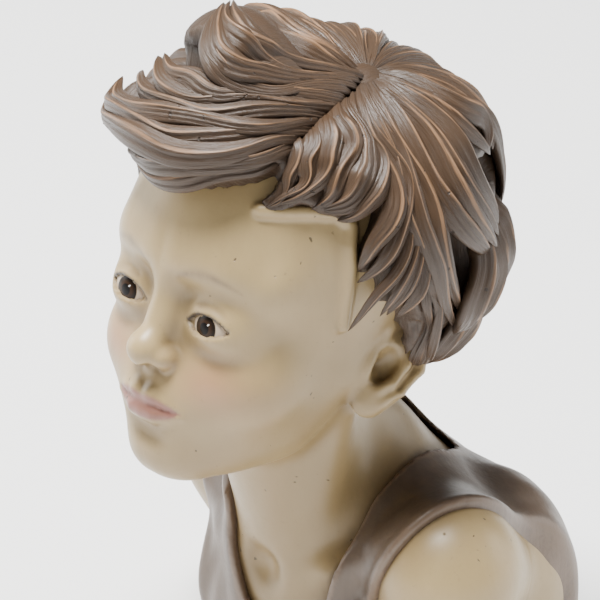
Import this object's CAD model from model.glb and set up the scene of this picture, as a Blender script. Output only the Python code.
"""Bust of a boy in painted resin: cream skin, swept bronze-brown hair and a dark sleeveless vest.

The figure is described by smooth distance fields in head heights (his left is +x, his back +y, up
is +z, the middle of the head is the origin). Each piece is meshed from its fields or swept along
guides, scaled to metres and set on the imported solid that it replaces.
"""
import logging
import math
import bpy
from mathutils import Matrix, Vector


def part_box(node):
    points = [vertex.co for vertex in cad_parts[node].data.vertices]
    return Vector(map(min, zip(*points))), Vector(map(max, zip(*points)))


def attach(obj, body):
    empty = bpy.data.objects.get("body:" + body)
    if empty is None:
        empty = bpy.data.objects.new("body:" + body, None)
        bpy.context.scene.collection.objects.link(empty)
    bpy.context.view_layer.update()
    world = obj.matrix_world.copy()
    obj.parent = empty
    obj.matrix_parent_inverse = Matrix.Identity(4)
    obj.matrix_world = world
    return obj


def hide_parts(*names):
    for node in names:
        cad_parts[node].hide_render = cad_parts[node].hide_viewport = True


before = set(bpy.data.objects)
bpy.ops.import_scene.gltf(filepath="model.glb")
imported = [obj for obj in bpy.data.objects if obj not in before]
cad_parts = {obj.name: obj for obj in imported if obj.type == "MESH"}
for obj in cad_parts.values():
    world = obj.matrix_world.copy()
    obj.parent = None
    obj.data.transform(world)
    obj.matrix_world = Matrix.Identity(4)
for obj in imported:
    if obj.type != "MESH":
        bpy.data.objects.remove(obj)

from concurrent.futures import ThreadPoolExecutor
from dataclasses import dataclass, field
from enum import Enum
from typing import Callable

import bpy
import numpy as np
from mathutils import Vector

LOG = logging.getLogger("boy_bust")
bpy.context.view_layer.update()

Array = np.ndarray
Field = Callable[[Array], Array]
Point = tuple[float, float, float]
Colour = tuple[float, float, float]

NODE = "boy_bust"
HEAD_HEIGHT = 0.065
BASE = -1.15


class Side(Enum):
    """Which side of the boy a part lies on, as the sign of x."""

    LEFT = 1
    RIGHT = -1


# Distance fields

def smooth_union(a: Array, b: Array, k: float) -> Array:
    """Distance to two shapes with a fillet of size k between them."""
    h = np.maximum(k - np.abs(a - b), 0.0) / k
    return np.minimum(a, b) - h * h * (k * 0.25)


def smooth_common(a: Array, b: Array, k: float) -> Array:
    """Distance to what two shapes share, with a rounding of size k."""
    return -smooth_union(-a, -b, k)


def carve(a: Array, tool: Array, k: float) -> Array:
    """Distance to a shape after a tool is carved out of it, with a rounding of size k."""
    return smooth_common(a, -tool, k)


def ellipsoid(p: Array, centre: Point, radii: Point) -> Array:
    """Distance to an ellipsoid."""
    r = np.asarray(radii, np.float32)
    q = (p - np.asarray(centre, np.float32)) / r
    k0 = np.sqrt((q * q).sum(1))
    q /= r
    k1 = np.sqrt((q * q).sum(1))
    return k0 * (k0 - 1.0) / np.maximum(k1, 1e-6)


def rod(p: Array, start: Point, end: Point, r0: float, r1: float) -> Array:
    """Distance to a rod with round ends whose radius goes from r0 to r1."""
    a = np.asarray(start, np.float32)
    along = np.asarray(end, np.float32) - a
    q = p - a
    t = np.clip((q @ along) / float(along @ along), 0.0, 1.0)
    q = q - t[:, None] * along
    return np.sqrt((q * q).sum(1)) - (r0 + (r1 - r0) * t)


def chain(p: Array, points: list[Point], radii: list[float], k: float = 0.0) -> Array:
    """Distance to a chain of rods, joined with fillets of size k."""
    d = rod(p, points[0], points[1], radii[0], radii[1])
    for i in range(1, len(points) - 1):
        link = rod(p, points[i], points[i + 1], radii[i], radii[i + 1])
        d = smooth_union(d, link, k) if k > 0.0 else np.minimum(d, link)
    return d


def folded(p: Array) -> Array:
    """Points with his right side folded onto his left."""
    q = p.copy()
    q[:, 0] = np.abs(q[:, 0])
    return q


def unit(v: Array) -> Array:
    """Vectors scaled to length one."""
    return v / np.maximum(np.linalg.norm(v, axis=-1), 1e-9)[..., None]


def evaluate(shape: Field, points: Array, chunk: int = 60000) -> Array:
    """Field values at many points, worked out on all cores.

    Args:
        shape: the distance field.
        points: rows of x, y, z.
        chunk: rows handed to a core at a time.

    Returns:
        One distance a row.
    """
    parts = [points[i:i + chunk] for i in range(0, len(points), chunk)]
    with ThreadPoolExecutor() as pool:
        return np.concatenate([v.astype(np.float32) for v in pool.map(shape, parts)])


@dataclass
class Mesher:
    """Turns a distance field into a closed mesh with one vertex in each cell that the surface crosses."""

    cell: float
    block: int = 8
    reach: float = 1.35

    def sample(self, shape: Field, low: Point, high: Point) -> tuple[Array, Array]:
        """Field values on a grid, worked out only in the blocks near the surface.

        Args:
            shape: the distance field.
            low: lowest corner of the grid.
            high: highest corner of the grid.

        Returns:
            The grid of values and its lowest corner.
        """
        start = np.asarray(low, np.float32)
        span = self.cell * self.block
        counts = [int(math.ceil((h - l) / span)) for l, h in zip(low, high)]
        blocks = np.stack(np.meshgrid(*[np.arange(c) for c in counts], indexing="ij"), -1).reshape(-1, 3)
        middle = evaluate(shape, start + (blocks + 0.5).astype(np.float32) * span)
        near = np.abs(middle) < self.reach * span * 0.5 * math.sqrt(3.0)
        sign = np.where(middle < 0, -1.0, 1.0).astype(np.float32).reshape(counts)
        values = np.ones([c * self.block + 1 for c in counts], np.float32)
        values[:-1, :-1, :-1] = np.repeat(
            np.repeat(np.repeat(sign, self.block, 0), self.block, 1), self.block, 2)
        steps = np.stack(np.meshgrid(*[np.arange(self.block + 1)] * 3, indexing="ij"), -1).reshape(-1, 3)
        nodes = (blocks[near][:, None, :] * self.block + steps[None]).reshape(-1, 3)
        flat = np.unique(np.ravel_multi_index(nodes.T, values.shape))
        nodes = np.stack(np.unravel_index(flat, values.shape), 1)
        values.ravel()[flat] = evaluate(shape, start + nodes.astype(np.float32) * self.cell)
        return values, start

    def surface(self, shape: Field, low: Point, high: Point) -> tuple[Array, Array]:
        """Vertices and quads of the zero surface of a field.

        Args:
            shape: the distance field.
            low: lowest corner of the grid.
            high: highest corner of the grid.

        Returns:
            Rows of x, y, z and rows of four vertex numbers.
        """
        values, start = self.sample(shape, low, high)
        inside = values < 0
        cells = tuple(s - 1 for s in values.shape)
        total = np.zeros((int(np.prod(cells)), 3), np.float64)
        count = np.zeros(int(np.prod(cells)), np.int32)
        edges = []
        for axis in range(3):
            first = tuple(slice(0, -1) if k == axis else slice(None) for k in range(3))
            second = tuple(slice(1, None) if k == axis else slice(None) for k in range(3))
            crossed = inside[first] != inside[second]
            at = np.argwhere(crossed)
            a, b = values[first][crossed], values[second][crossed]
            where = at.astype(np.float64)
            where[:, axis] += a / (a - b)
            u, v = (k for k in range(3) if k != axis)
            for du in (0, 1):
                for dv in (0, 1):
                    c = at.copy()
                    c[:, u] -= du
                    c[:, v] -= dv
                    ok = (c >= 0).all(1) & (c < cells).all(1)
                    flat = np.ravel_multi_index(c[ok].T, cells)
                    for k in range(3):
                        total[:, k] += np.bincount(flat, where[ok][:, k], len(total))
                    count += np.bincount(flat, minlength=len(total)).astype(np.int32)
            edges.append((at, inside[first][crossed]))
        used = count > 0
        number = np.full(len(total), -1, np.int64)
        number[used] = np.arange(int(used.sum()))
        verts = start + total[used] / count[used][:, None] * self.cell
        quads = []
        for axis, (at, starts_inside) in enumerate(edges):
            u, v = (axis + 1) % 3, (axis + 2) % 3
            ok = (at[:, u] > 0) & (at[:, v] > 0) & (at[:, u] < cells[u]) & (at[:, v] < cells[v])
            at, starts_inside = at[ok], starts_inside[ok]
            ring = []
            for du, dv in ((1, 1), (0, 1), (0, 0), (1, 0)):
                c = at.copy()
                c[:, u] -= du
                c[:, v] -= dv
                ring.append(number[np.ravel_multi_index(c.T, cells)])
            quad = np.stack(ring, 1)
            quad[~starts_inside] = quad[~starts_inside][:, ::-1]
            quads.append(quad)
        return verts, np.concatenate(quads)


# The figure

@dataclass
class Head:
    """Head of a child with ears, upright in its own frame, and how it is tipped back on the neck."""

    pitch: float = math.radians(13.0)
    pivot: Point = (0.0, 0.085, -0.125)
    skull: Point = (0.352, 0.43, 0.375)
    eye: Point = (0.136, -0.262, -0.065)
    eye_radius: float = 0.080
    lid: float = 0.010
    eye_half_width: float = 0.063
    ear: Point = (0.276, 0.068, -0.125)
    ear_flare: float = math.radians(20)
    ear_lean: float = math.radians(20)
    ear_groove: tuple[Point, ...] = ((0.060, 0.088, 0.034), (0.098, 0.062, 0.036), (0.112, 0.010, 0.036),
                                     (0.094, -0.045, 0.032))

    def into(self, p: Array) -> Array:
        """World points in the upright frame of the head."""
        c, s = math.cos(self.pitch), math.sin(self.pitch)
        y, z = p[:, 1] - self.pivot[1], p[:, 2] - self.pivot[2]
        return np.stack([p[:, 0], self.pivot[1] + y * c - z * s,
                         self.pivot[2] + y * s + z * c], 1).astype(np.float32)

    def out_of(self, p: Array) -> Array:
        """Points of the head's frame back in the world."""
        c, s = math.cos(self.pitch), math.sin(self.pitch)
        y, z = p[:, 1] - self.pivot[1], p[:, 2] - self.pivot[2]
        return np.stack([p[:, 0], self.pivot[1] + y * c + z * s, self.pivot[2] - y * s + z * c], 1)

    def masses(self, p: Array, q: Array) -> Array:
        """Skull, face, cheeks, jaw, chin, brow and eye sockets."""
        d = ellipsoid(p, (0, 0.055, 0.125), self.skull)
        d = smooth_union(d, ellipsoid(p, (0, -0.075, -0.12), (0.262, 0.258, 0.30)), 0.12)
        d = smooth_union(d, ellipsoid(p, (0, -0.13, -0.29), (0.17, 0.19, 0.175)), 0.12)
        d = smooth_union(d, ellipsoid(q, (0.150, -0.185, -0.205), (0.125, 0.125, 0.115)), 0.09)
        jaw = [(0.205, 0.02, -0.18), (0.150, -0.06, -0.315), (0.05, -0.225, -0.405)]
        d = smooth_union(d, chain(q, jaw, [0.065, 0.055, 0.055], 0.05), 0.10)
        d = smooth_union(d, ellipsoid(p, (0, -0.262, -0.412), (0.072, 0.068, 0.062)), 0.075)
        d = smooth_union(d, ellipsoid(p, (0, -0.240, -0.28), (0.125, 0.115, 0.09)), 0.08)
        brow = [(0.05, -0.300, 0.05), (0.14, -0.285, 0.07), (0.21, -0.24, 0.05)]
        d = smooth_union(d, chain(q, brow, [0.03, 0.03, 0.025], 0.03), 0.12)
        d = carve(d, ellipsoid(q, (0.137, -0.415, -0.062), (0.10, 0.085, 0.060)), 0.10)
        return carve(d, ellipsoid(q, (0.062, -0.380, -0.04), (0.028, 0.045, 0.045)), 0.055)

    def nose(self, d: Array, p: Array, q: Array) -> Array:
        """The head with its nose, nostrils and the groove under the nose."""
        bridge = [(0, -0.320, 0.00), (0, -0.338, -0.075), (0, -0.378, -0.145)]
        d = smooth_union(d, chain(p, bridge, [0.030, 0.026, 0.031], 0.03), 0.055)
        d = smooth_union(d, ellipsoid(p, (0, -0.388, -0.160), (0.040, 0.038, 0.036)), 0.03)
        d = smooth_union(d, ellipsoid(q, (0.043, -0.352, -0.172), (0.026, 0.038, 0.026)), 0.018)
        d = smooth_union(d, rod(p, (0, -0.392, -0.178), (0, -0.350, -0.200), 0.014, 0.016), 0.02)
        d = carve(d, ellipsoid(q, (0.024, -0.382, -0.200), (0.014, 0.021, 0.014)), 0.012)
        return carve(d, rod(p, (0, -0.385, -0.215), (0, -0.386, -0.248), 0.007, 0.010), 0.022)

    def mouth(self, d: Array, p: Array, q: Array) -> Array:
        """The head with calm closed lips and the crease over the chin."""
        d = carve(d, ellipsoid(p, (0, -0.385, -0.357), (0.06, 0.035, 0.018)), 0.05)
        upper = [(0.0, -0.357, -0.271), (0.022, -0.359, -0.2665), (0.058, -0.345, -0.278),
                 (0.100, -0.332, -0.2905)]
        d = smooth_union(d, chain(q, upper, [0.0165, 0.0180, 0.0145, 0.006], 0.01), 0.016)
        lower = [(0.0, -0.352, -0.3135), (0.03, -0.349, -0.312), (0.066, -0.334, -0.303),
                 (0.098, -0.332, -0.294)]
        d = smooth_union(d, chain(q, lower, [0.0225, 0.0205, 0.0135, 0.006], 0.01), 0.018)
        line = [(0.0, -0.379, -0.2905), (0.02, -0.379, -0.289), (0.058, -0.361, -0.2925),
                (0.108, -0.342, -0.291)]
        return carve(d, chain(q, line, [0.005, 0.005, 0.005, 0.003]), 0.009)

    def eyes(self, d: Array, q: Array) -> Array:
        """The head with lids round an almond opening, the ball inside it and the crease over the lid."""
        e = q - np.asarray(self.eye, np.float32)
        r = np.sqrt((e * e).sum(1))
        lid = smooth_common(r - (self.eye_radius + self.lid), np.abs(e[:, 2] - 0.004) - 0.062, 0.04)
        d = smooth_union(d, lid, 0.045)
        u = (e[:, 0] + 0.001) / self.eye_half_width
        top = 0.028 * (1 - np.abs(u) ** 2.2) + 0.004 * u
        bottom = -0.022 * (1 - np.abs(u) ** 2.4) + 0.004 * u
        opening = np.maximum(np.maximum(e[:, 2] - top, bottom - e[:, 2]), e[:, 1] + 0.02)
        d = carve(d, opening, 0.006)
        d = np.minimum(d, r - self.eye_radius)
        d = smooth_union(d, ellipsoid(e, (-0.054, -0.050, -0.001), (0.016, 0.016, 0.013)), 0.006)
        crease = 0.030 * (1 - 0.70 * np.abs(u) ** 2) + 0.020
        groove = np.sqrt((e[:, 2] - crease) ** 2 + (r - self.eye_radius - 0.017) ** 2) - 0.003
        groove += 0.018 * np.clip(np.abs(u - 0.15) / 0.95, 0, 1) ** 4
        groove = np.maximum(groove, np.maximum(np.abs(u - 0.15) - 0.95, e[:, 1]))
        return carve(d, groove, 0.016)

    def bare(self, p: Array) -> Array:
        """Distance to the head without its ears."""
        q = folded(p)
        d = self.nose(self.masses(p, q), p, q)
        return self.eyes(self.mouth(d, p, q), q)

    def ears(self, p: Array) -> Array:
        """Distance to both ears, built along axes that run backwards, up the ear and outwards."""
        along = np.array([0.0, math.sin(self.ear_lean), math.cos(self.ear_lean)])
        back = np.array([0.0, math.cos(self.ear_lean), -math.sin(self.ear_lean)]) * math.cos(self.ear_flare)
        back = back + np.array([math.sin(self.ear_flare), 0.0, 0.0])
        out = np.cross(back, along)
        out = -out if out[0] < 0 else out
        e = (folded(p) - np.asarray(self.ear, np.float32)) @ np.stack(
            [back, along, out], 1).astype(np.float32)
        d = ellipsoid(e, (0.055, 0.0, 0.0), (0.085, 0.125, 0.028))
        d = smooth_union(d, ellipsoid(e, (0.02, -0.01, -0.02), (0.07, 0.085, 0.05)), 0.03)
        d = carve(d, ellipsoid(e, (0.04, -0.015, 0.045), (0.045, 0.055, 0.05)), 0.015)
        rim = [(0.012, 0.035, 0.018), (0.01, 0.075, 0.022), (0.035, 0.112, 0.026), (0.078, 0.112, 0.026),
               (0.118, 0.07, 0.024), (0.128, 0.01, 0.022), (0.105, -0.055, 0.02), (0.07, -0.095, 0.014)]
        d = smooth_union(d, chain(e, rim, [0.010, 0.012, 0.014, 0.015, 0.015, 0.014, 0.013, 0.013], 0.01),
                         0.008)
        fold = [(0.045, 0.075, 0.014), (0.078, 0.055, 0.02), (0.092, 0.01, 0.022), (0.078, -0.04, 0.02),
                (0.05, -0.065, 0.02)]
        d = smooth_union(d, chain(e, fold, [0.009, 0.012, 0.014, 0.013, 0.011], 0.01), 0.008)
        d = carve(d, chain(e, self.ear_groove, [0.006, 0.008, 0.008, 0.005], 0.01), 0.010)
        d = smooth_union(d, ellipsoid(e, (0.045, -0.105, 0.004), (0.038, 0.036, 0.022)), 0.03)
        d = smooth_union(d, ellipsoid(e, (-0.002, -0.02, 0.016), (0.018, 0.03, 0.018)), 0.02)
        return carve(d, ellipsoid(e, (0.026, -0.018, 0.02), (0.016, 0.022, 0.04)), 0.012)


@dataclass
class Torso:
    """Neck, shoulders, chest and back, and two upper arms that end at the flat cut."""

    chest_lean: float = math.radians(22.0)
    arm_radius: float = 0.152
    arms: dict[Side, list[Point]] = field(default_factory=lambda: {
        Side.LEFT: [(0.405, 0.215, -0.70), (0.450, 0.120, -1.05), (0.465, 0.075, -1.25)],
        Side.RIGHT: [(0.385, 0.315, -0.695), (0.385, 0.430, -1.05), (0.370, 0.480, -1.25)]})

    def trunk(self, p: Array) -> Array:
        """Distance to the neck and the trunk without the arms."""
        q = folded(p)
        d = chain(p, [(0, 0.03, -0.28), (0, 0.185, -0.80)], [0.170, 0.178])
        d = smooth_union(d, rod(q, (0.185, 0.07, -0.30), (0.045, 0.05, -0.765), 0.032, 0.028), 0.06)
        d = smooth_union(d, rod(p, (0, 0.20, -0.34), (0, 0.33, -0.60), 0.100, 0.122), 0.08)
        slope = [(0.03, 0.30, -0.55), (0.20, 0.26, -0.665), (0.40, 0.27, -0.71)]
        d = smooth_union(d, chain(q, slope, [0.118, 0.103, 0.10], 0.08), 0.09)
        c, s = math.cos(self.chest_lean), math.sin(self.chest_lean)
        r = p - np.float32((0, 0.40, -1.02))
        r = np.stack([r[:, 0], r[:, 1] * c + r[:, 2] * s, r[:, 2] * c - r[:, 1] * s], 1).astype(np.float32)
        d = smooth_union(d, ellipsoid(r, (0, 0, 0.0), (0.405, 0.365, 0.49)), 0.12)
        d = smooth_union(d, ellipsoid(r, (0, 0.0, -0.3), (0.385, 0.36, 0.6)), 0.12)
        d = smooth_union(d, rod(q, (0.0, 0.41, -0.80), (0.35, 0.35, -0.79), 0.15, 0.135), 0.12)
        d = smooth_union(d, ellipsoid(q, (0.235, 0.565, -0.93), (0.165, 0.16, 0.25)), 0.10)
        collar_bone = [(0.035, 0.035, -0.790), (0.17, 0.055, -0.745), (0.36, 0.15, -0.64)]
        d = smooth_union(d, chain(q, collar_bone, [0.026, 0.024, 0.026], 0.03), 0.06)
        d = smooth_union(d, ellipsoid(q, (0.17, 0.115, -0.93), (0.16, 0.09, 0.12)), 0.10)
        return carve(d, ellipsoid(p, (0.0, -0.02, -0.775), (0.030, 0.024, 0.028)), 0.07)

    def shoulders(self, p: Array) -> Array:
        """Distance to the round tops of both shoulders."""
        r = self.arm_radius
        found = [ellipsoid(p * np.float32((side.value, 1, 1)), arm[0], (r, r + 0.013, r + 0.013))
                 for side, arm in self.arms.items()]
        return np.minimum(found[0], found[1])

    def both_arms(self, p: Array) -> Array:
        """Distance to the shoulders and upper arms."""
        r = self.arm_radius
        found = []
        for side, (top, low, end) in self.arms.items():
            start = (top[0] + 0.01, top[1] - 0.015, top[2] - 0.04)
            found.append(chain(p * np.float32((side.value, 1, 1)), [start, low, end],
                               [r - 0.004, r - 0.017, r - 0.027], 0.05))
        return smooth_union(self.shoulders(p), np.minimum(found[0], found[1]), 0.06)


@dataclass
class Vest:
    """Sleeveless vest: a skin over the trunk with a raised hem round the neck and the arms."""

    torso: Torso
    thickness: float = 0.0185
    hem_rise: float = 0.008
    hem_width: float = 0.026
    neck_middle: float = 0.05
    neck_half: tuple[float, float, float] = (0.172, 0.342, 0.30)
    arm_middle: tuple[float, float] = (0.33, -0.95)
    arm_reach: tuple[tuple[float, float], ...] = (
        (-60, 0.43), (-30, 0.405), (0, 0.392), (25, 0.398), (45, 0.382), (60, 0.385), (80, 0.425),
        (95, 0.438), (107, 0.421), (124, 0.392), (137, 0.349), (150, 0.292), (165, 0.262), (190, 0.268),
        (220, 0.33), (260, 0.42))

    def neck_opening(self, p: Array) -> Array:
        """Distance to the scooped opening for the neck, negative inside."""
        wide, front, back = self.neck_half
        down_front = p[:, 1] * 0.8 + p[:, 2] * 0.6 + 0.238
        down_front = down_front / np.where(down_front > 0, back, front)
        r = (np.abs((p[:, 0] - self.neck_middle) / wide) ** 2.6 + np.abs(down_front) ** 2.6) ** (1 / 2.6)
        depth = p[:, 1] * 0.6 - p[:, 2] * 0.8
        return np.minimum(np.maximum((r - 1) * wide, depth - 1.0), depth - 0.47)

    def arm_openings(self, p: Array) -> Array:
        """Distance to the openings for the arms, negative inside; a table says how far out they start."""
        turns = np.arange(0.0, 360.0, 5.0)
        angles, reach = np.array(self.arm_reach).T
        reach = np.interp(turns, angles, reach, period=360)
        reach = sum(np.roll(reach, k) * w for k, w in ((-2, 1), (-1, 4), (0, 6), (1, 4), (2, 1))) / 16
        left_top = self.torso.arms[Side.LEFT][0]
        found = []
        for side, arm in self.torso.arms.items():
            y = p[:, 1] - self.arm_middle[0] - (arm[0][1] - left_top[1])
            z = p[:, 2] - self.arm_middle[1] - (arm[0][2] - left_top[2])
            edge = np.interp(np.degrees(np.arctan2(z, y)), turns, reach, period=360)
            found.append(edge - p[:, 0] * side.value)
        return np.minimum(found[0], found[1]).astype(np.float32)

    def openings(self, p: Array) -> Array:
        """Distance to all openings."""
        return np.minimum(self.neck_opening(p), self.arm_openings(p))

    def folds(self, p: Array) -> Array:
        """Height of the soft folds that run from the armholes over the chest and the back."""
        q = p * np.float32((1, 1, 1))
        height = np.zeros(len(p), np.float32)
        for x, y, z, lean, size in ((0.30, 0.10, -0.98, 0.5, 0.10), (-0.28, 0.12, -1.00, -0.4, 0.10),
                                    (0.22, 0.72, -0.92, 0.35, 0.14), (-0.20, 0.70, -0.98, -0.3, 0.14),
                                    (0.05, 0.70, -0.86, 0.1, 0.16)):
            across = (q[:, 0] - x) + lean * (q[:, 2] - z)
            near = np.exp(-((q[:, 1] - y) / 0.22) ** 2 - ((q[:, 2] - z) / (size * 1.6)) ** 2
                          - (across / size) ** 2)
            height += 0.007 * near * np.cos(across * 6.2832 / 0.085)
        return height

    def shell(self, p: Array) -> Array:
        """Distance to the vest, which is filled behind so that it is one closed solid."""
        opening = self.openings(p)
        hem = self.hem_rise * np.exp(-((opening - 0.012) / self.hem_width) ** 2)
        hem = hem * np.clip((self.neck_opening(p) - 0.03) / 0.05
                            + np.clip((0.30 - p[:, 1]) / 0.15, 0, 1), 0, 1)
        under = smooth_union(self.torso.trunk(p), self.torso.shoulders(p), 0.07)
        outer = under - self.thickness - hem - self.folds(p) * np.clip(opening / 0.08, 0, 1)
        d = carve(outer, opening, 0.012)
        return np.maximum(d, BASE - p[:, 2])


@dataclass
class Figure:
    """The whole bare figure, for meshing the skin and for measuring how deep a point lies in a recess."""

    head: Head
    torso: Torso
    ledge: list[Point] = field(default_factory=list)

    def skin(self, p: Array) -> Array:
        """Distance to head, ears, neck, trunk, arms and the ledge at the hair's edge, cut flat below."""
        h = self.head.into(p)
        d = smooth_union(self.head.bare(h), self.head.ears(h), 0.02)
        if self.ledge:
            d = smooth_union(d, chain(h, self.ledge, [0.017] * len(self.ledge)), 0.012)
        body = smooth_union(self.torso.trunk(p), self.torso.both_arms(p), 0.07)
        return np.maximum(smooth_union(d, body, 0.06), BASE - p[:, 2])


# The hair

Guide = list[Point]


def heading(lon: Array, lat: Array) -> Array:
    """Unit directions from the middle of the skull: longitude 0 in front, 90 over his left ear."""
    a, b = np.radians(lon), np.radians(lat)
    return np.stack([np.cos(b) * np.sin(a), -np.cos(b) * np.cos(a), np.sin(b)], -1)


# Guides of the locks, each (longitude, latitude, height over the skull) from root to tip

FRINGE = [
    [(33, 38, .020), (27, 33, .045), (22, 29, .060), (16, 25, .065), (9, 22, .065), (0, 20, .060),
     (-10, 19, .050), (-23, 19, .035)],
    [(36, 41, .030), (29, 35, .070), (22, 31, .085), (15, 27, .095), (7, 24, .100), (-1, 22, .100),
     (-12, 22, .085), (-27, 22, .070)],
    [(38, 43, .035), (30, 38, .080), (22, 33, .100), (13, 29, .115), (4, 26, .125), (-7, 25, .130),
     (-22, 24, .125), (-40, 22, .130), (-47, 26, .140)],
    [(41, 46, .040), (30, 40, .085), (20, 36, .105), (11, 33, .120), (2, 30, .130), (-8, 29, .140),
     (-19, 28, .145), (-40, 26, .145), (-47, 31, .155)],
    [(43, 50, .040), (30, 43, .085), (21, 39, .110), (11, 36, .125), (1, 33, .140), (-7, 32, .150),
     (-17, 32, .150), (-30, 32, .145), (-44, 34, .150)],
    [(46, 53, .040), (31, 47, .085), (20, 43, .105), (10, 39, .120), (0, 37, .130), (-10, 35, .135),
     (-21, 35, .130), (-42, 37, .125)],
    [(49, 57, .040), (33, 51, .080), (22, 47, .100), (12, 43, .120), (4, 40, .135), (-4, 39, .145),
     (-13, 39, .155), (-26, 42, .155)],
    [(53, 60, .040), (34, 54, .080), (22, 50, .100), (13, 46, .120), (6, 43, .135), (-2, 43, .145),
     (-10, 43, .155), (-22, 46, .155)],
    [(59, 64, .040), (37, 58, .075), (26, 52, .100), (17, 49, .120), (10, 47, .145), (4, 47, .170),
     (-3, 49, .180), (-11, 53, .180), (-25, 57, .170)],
    [(65, 67, .040), (40, 62, .070), (27, 56, .095), (18, 53, .120), (12, 51, .150), (6, 51, .180),
     (0, 53, .195), (-11, 57, .195), (-33, 62, .180)],
    [(72, 69, .040), (44, 65, .065), (28, 60, .090), (18, 57, .115), (12, 55, .150), (7, 55, .185),
     (0, 57, .200), (-12, 61, .195), (-34, 66, .180)],
    [(78, 71, .040), (49, 69, .060), (31, 64, .085), (20, 61, .110), (13, 60, .140), (7, 60, .170),
     (0, 62, .185), (-13, 65, .185), (-41, 68, .175)],
]
CROWN = [
    [(82, 72, .038), (54, 73, .055), (30, 71, .075), (10, 71, .090), (-8, 71, .105), (-34, 71, .110),
     (-70, 66, .105)],
    [(87, 73, .035), (60, 80, .050), (-20, 79, .075), (-70, 67, .100), (-82, 53, .100),
     (-84, 40, .080)],
    [(90, 74, .035), (75, 84, .050), (-95, 80, .070), (-97, 64, .085), (-96, 46, .085),
     (-92, 26, .060)],
    [(93, 74, .035), (120, 85, .050), (-125, 76, .070), (-114, 60, .080), (-110, 42, .080),
     (-105, 24, .075), (-100, 8, .060)],
    [(96, 74, .035), (140, 80, .050), (-155, 72, .070), (-136, 57, .075), (-129, 38, .080),
     (-123, 18, .085), (-118, 2, .075)],
    [(98, 74, .035), (143, 76, .055), (-172, 64, .075), (-155, 49, .080), (-148, 30, .080),
     (-144, 12, .090), (-140, -6, .095)],
    [(100, 73, .035), (145, 72, .055), (178, 56, .075), (-175, 40, .080), (-168, 21, .090),
     (-164, 4, .100), (-160, -10, .105)],
    [(101, 73, .035), (140, 67, .055), (163, 52, .075), (170, 37, .080), (174, 20, .090),
     (178, 4, .100), (-177, -12, .105)],
    [(101, 73, .038), (128, 68, .058), (148, 57, .070), (155, 45, .080), (158, 30, .085),
     (160, 14, .095), (163, 0, .100)],
]
BACK = [
    [(101, 73, .040), (122, 68, .060), (136, 57, .070), (141, 48, .080), (144, 38, .090),
     (145, 28, .090), (148, 17, .090)],
    [(104, 72, .040), (111, 65, .065), (117, 57, .080), (123, 50, .095), (129, 44, .105),
     (131, 38, .105), (128, 34, .090)],
    [(95, 71, .040), (99, 63, .060), (102, 55, .075), (104, 47, .085), (109, 38, .095), (118, 29, .095),
     (135, 18, .085)],
    [(90, 70, .040), (88, 62, .060), (92, 53, .070), (95, 44, .080), (98, 34, .090), (102, 25, .100),
     (108, 16, .110), (117, 6, .120)],
    [(87, 69, .040), (83, 61, .055), (85, 51, .065), (89, 40, .075), (93, 29, .085), (98, 18, .095),
     (105, 8, .100), (118, -3, .095)],
    [(84, 69, .040), (79, 60, .055), (81, 50, .065), (85, 39, .070), (88, 28, .080), (92, 17, .090),
     (100, 5, .090), (116, -9, .080)],
    [(81, 68, .040), (76, 59, .055), (77, 49, .065), (81, 39, .070), (84, 28, .080), (87, 17, .085),
     (91, 6, .090), (100, -8, .085), (118, -22, .085)],
    [(78, 68, .040), (73, 59, .055), (74, 49, .065), (78, 39, .070), (80, 28, .075), (82, 18, .080),
     (86, 8, .080), (92, -4, .080), (110, -18, .080)],
]
LEFT = [
    [(77, 68, .040), (73, 59, .055), (75, 50, .065), (79, 40, .070), (82, 29, .075), (85, 18, .080),
     (88, 6, .080), (90, -4, .075), (91, -14, .055)],
    [(76, 68, .040), (72, 59, .055), (74, 50, .065), (78, 41, .070), (81, 31, .075), (83, 20, .080),
     (84, 9, .080), (83, -1, .070), (80, -11, .045)],
    [(76, 68, .040), (71, 59, .055), (73, 50, .065), (78, 41, .070), (81, 32, .075), (82, 22, .080),
     (82, 13, .080), (80, 4, .075), (77, -4, .065), (74, -13, .035)],
    [(75, 68, .040), (70, 59, .055), (72, 50, .065), (77, 41, .070), (80, 32, .075), (80, 22, .080),
     (79, 13, .080), (76, 4, .075), (72, -5, .060), (69, -20, .020)],
    [(73, 67, .040), (69, 58, .055), (71, 50, .065), (75, 42, .070), (79, 33, .075), (79, 23, .080),
     (77, 14, .075), (73, 6, .065), (68, -4, .025)],
    [(70, 66, .040), (66, 58, .055), (68, 49, .065), (72, 42, .070), (74, 34, .075), (74, 26, .075),
     (72, 19, .070), (68, 13, .055), (66, 7, .025)],
    [(65, 64, .040), (63, 56, .055), (65, 48, .065), (69, 41, .070), (70, 35, .075), (69, 28, .075),
     (66, 22, .065), (65, 17, .030)],
    [(60, 61, .040), (59, 54, .055), (62, 47, .065), (64, 41, .070), (65, 35, .070), (62, 30, .065),
     (57, 26, .050), (49, 24, .025)],
    [(54, 59, .035), (54, 51, .055), (56, 46, .065), (58, 41, .065), (57, 36, .060), (53, 31, .055),
     (48, 27, .045), (40, 23, .025)],
    [(48, 54, .030), (48, 48, .050), (50, 43, .060), (51, 39, .060), (50, 34, .055), (46, 30, .050),
     (41, 25, .040), (35, 21, .020)],
    [(42, 49, .030), (43, 43, .050), (44, 39, .055), (44, 35, .055), (43, 31, .050), (40, 27, .045),
     (36, 23, .035), (31, 20, .020)],
    [(37, 44, .020), (38, 40, .040), (39, 37, .045), (40, 33, .045), (39, 29, .040), (37, 26, .035),
     (34, 22, .025), (31, 20, .015)],
]
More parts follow.
